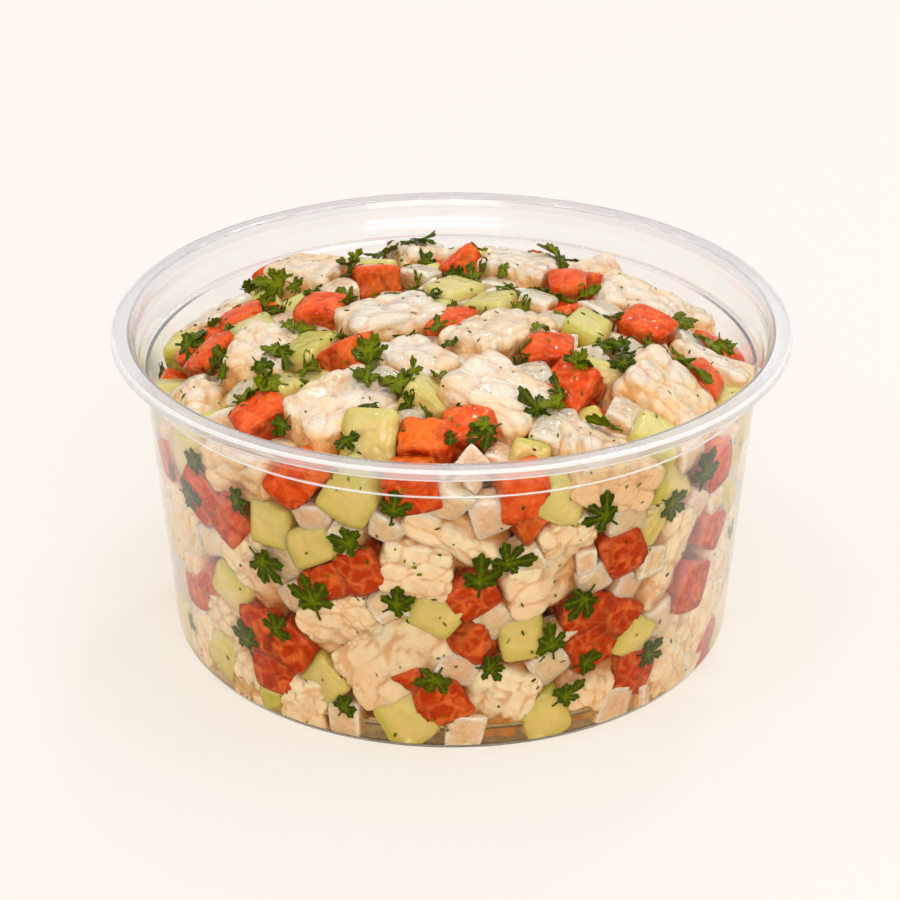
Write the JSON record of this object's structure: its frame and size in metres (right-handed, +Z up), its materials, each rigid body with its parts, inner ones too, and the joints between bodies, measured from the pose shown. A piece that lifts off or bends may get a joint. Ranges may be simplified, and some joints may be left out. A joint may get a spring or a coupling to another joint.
{
  "type": "ceviche in a deli cup",
  "caption": "Round clear plastic deli cup with a flat lid flange, heaped with diced fish, tomato, cucumber, onion and chopped herbs in lime juice.",
  "frame": {"origin": "middle of the cup's underside, on the surface it stands on", "axes": "+Z up along the cup's axis; X and Y across the cup"},
  "size_m": [0.117, 0.117, 0.0594],
  "materials": {
    "clear_cup": "clear thermoformed plastic, glossy",
    "white_fish": "moist, opaque, lime-cured white fish",
    "tomato": "wet diced tomato",
    "cucumber": "wet, slightly clear diced cucumber",
    "onion": "wet, slightly clear diced onion",
    "herb": "fresh chopped leaves, satin",
    "lime_juice": "cloudy juice, glossy"
  },
  "bodies": {
    "root": {"cup": "clear_cup", "ceviche_heap": "white_fish", "lime_juice": "lime_juice"}
  },
  "joints": []
}
